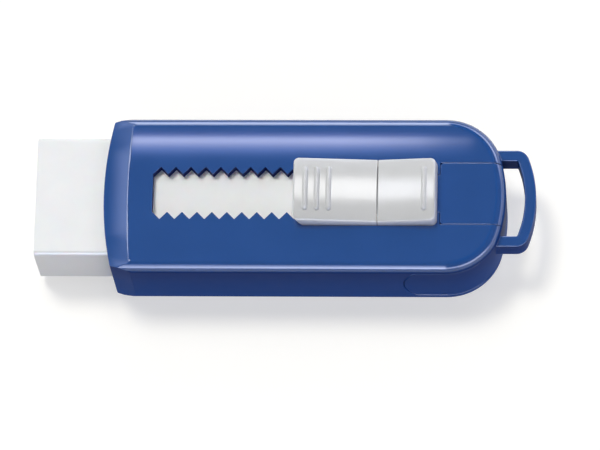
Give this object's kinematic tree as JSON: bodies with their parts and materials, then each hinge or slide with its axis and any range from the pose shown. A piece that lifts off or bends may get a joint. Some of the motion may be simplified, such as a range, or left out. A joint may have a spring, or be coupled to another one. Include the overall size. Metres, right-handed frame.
{
  "type": "slide eraser in holder",
  "caption": "White block eraser in a flat blue plastic sleeve, fed out by a thumb slide along a notched slot, with a lanyard loop at the far end.",
  "frame": {"origin": "centre of the whole object's length and width, on the plane of its flat back", "axes": "+X along the length towards the lanyard loop, +Z out of the face with the slot, +Y across"},
  "size_m": [0.0926, 0.03, 0.0208],
  "materials": {
    "blue_shell": "glossy moulded blue",
    "blue_plug": "glossy moulded blue",
    "white_rubber": "soft matte white",
    "white_slide": "semi-gloss white",
    "white_pad": "semi-gloss white",
    "spring": "plain grey"
  },
  "bodies": {
    "housing": {"sleeve": "blue_shell", "end_plug": "blue_plug"},
    "slide": {"carrier": "white_slide", "front_pad": "white_pad", "catch_spring": "spring", "eraser": "white_rubber"}
  },
  "joints": [
    {"name": "thumb_slide", "type": "slide", "parent": "housing", "child": "slide", "axis": [-1, 0, 0], "range_m": [0, 0.02484], "deforming": ["catch_spring"]}
  ]
}
